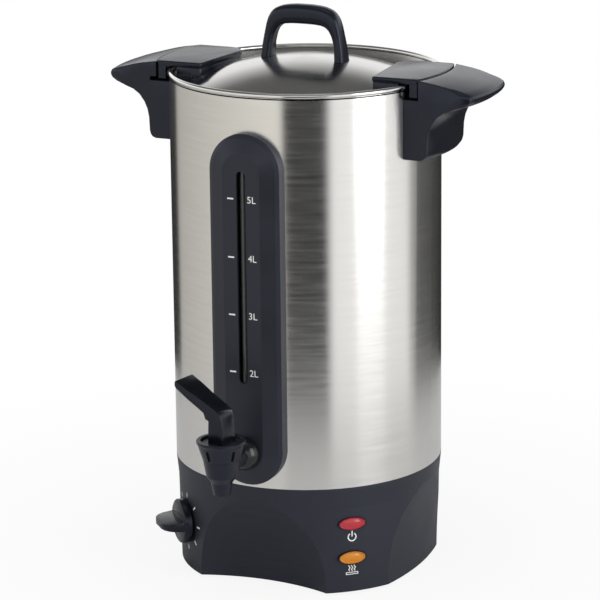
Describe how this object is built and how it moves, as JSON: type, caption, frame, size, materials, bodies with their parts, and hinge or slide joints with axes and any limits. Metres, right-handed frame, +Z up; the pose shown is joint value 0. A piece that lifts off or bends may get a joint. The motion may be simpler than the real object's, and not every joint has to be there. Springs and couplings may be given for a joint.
{
  "type": "mulled wine urn",
  "caption": "Heated steel drinks urn with a swivelling drip free tap, sight gauge, thermostat knob, side handles and a domed lid that lifts off and turns to lock.",
  "frame": {"origin": "on the tank's axis, on the floor the rubber feet stand on", "axes": "+Z up along the tank's axis, the tap and sight gauge face -Y, the side handles lie along X"},
  "size_m": [0.271, 0.2442, 0.3846],
  "materials": {
    "steel_brushed": "circumferentially brushed",
    "steel_plain": "plain mill finish",
    "steel_bright": "polished",
    "plastic_dark": "matte moulded, dark blue grey",
    "rubber_black": "matte",
    "aluminium": "as cast",
    "element_sheath": "oxidised sheath",
    "ceramic": "pale ceramic and thermoset",
    "brass": "plain",
    "glass_clear": "clear",
    "lens_red": "clear tinted",
    "lens_amber": "clear tinted"
  },
  "bodies": {
    "urn": {"base_shell": "plastic_dark", "base_plate": "plastic_dark", "rubber_feet": "rubber_black", "base_screws": "steel_plain", "tank": "steel_brushed", "heater_plate": "aluminium", "heating_element": "element_sheath", "heater_clamp": "steel_plain", "thermostat_body": "ceramic", "thermal_cutout": "ceramic", "terminal_block": "ceramic", "cord_gland": "plastic_dark", "gland_nut": "plastic_dark", "lamp_red": "lens_red", "lamp_amber": "lens_amber", "lamp_bezels": "plastic_dark", "lamp_holders": "ceramic", "gauge_panel": "plastic_dark", "sight_tube": "glass_clear", "tube_seals": "rubber_black", "tap_body": "plastic_dark", "tap_collar": "plastic_dark", "tap_nut": "steel_plain", "tap_washers": "rubber_black", "handle_left": "plastic_dark", "handle_right": "plastic_dark", "handle_screws": "steel_plain"},
    "knob": {"thermostat_knob": "plastic_dark", "thermostat_spindle": "brass"},
    "tap_head": {"tap_bearing": "plastic_dark"},
    "tap_valve": {"tap_stem": "steel_bright", "tap_seat": "rubber_black", "lever_pin": "steel_bright", "tap_spring": "steel_plain"},
    "tap_handle": {"tap_lever": "plastic_dark"},
    "lid_carrier": {"lid_gasket": "rubber_black"},
    "lid": {"lid_dome": "steel_bright", "wing_left": "plastic_dark", "wing_right": "plastic_dark", "lid_handle": "plastic_dark", "lid_screws": "steel_plain"}
  },
  "joints": [
    {"name": "knob_turn", "type": "hinge", "parent": "urn", "child": "knob", "pos_m": [-0.06364, -0.06364, 0.035], "axis": [-0.7071, -0.7071, 0], "range_deg": [0, 270]},
    {"name": "tap_swivel", "type": "hinge", "parent": "urn", "child": "tap_head", "pos_m": [0, -0.136, 0.117], "axis": [0, 0, 1], "range_deg": [-60, 180]},
    {"name": "tap_stem_lift", "type": "slide", "parent": "tap_head", "child": "tap_valve", "axis": [0, 0, 1], "range_m": [0, 0.002], "stiffness_N_per_m": 1500, "springref_m": -0.001, "deforming": ["tap_spring"]},
    {"name": "tap_lever_press", "type": "hinge", "parent": "tap_valve", "child": "tap_handle", "pos_m": [0, -0.136, 0.131], "axis": [-0.1736, -0.9848, 0], "range_deg": [0, 22]},
    {"name": "lid_lift", "type": "slide", "parent": "urn", "child": "lid_carrier", "axis": [0, 0, 1], "range_m": [0, 0.09]},
    {"name": "lid_twist", "type": "hinge", "parent": "lid_carrier", "child": "lid", "pos_m": [0, 0, 0.33], "axis": [0, 0, 1], "range_deg": [0, 60]}
  ],
  "couplings": [
    {"joint": "tap_lever_press", "follows": "tap_stem_lift", "rad_per_m": 192.3}
  ]
}
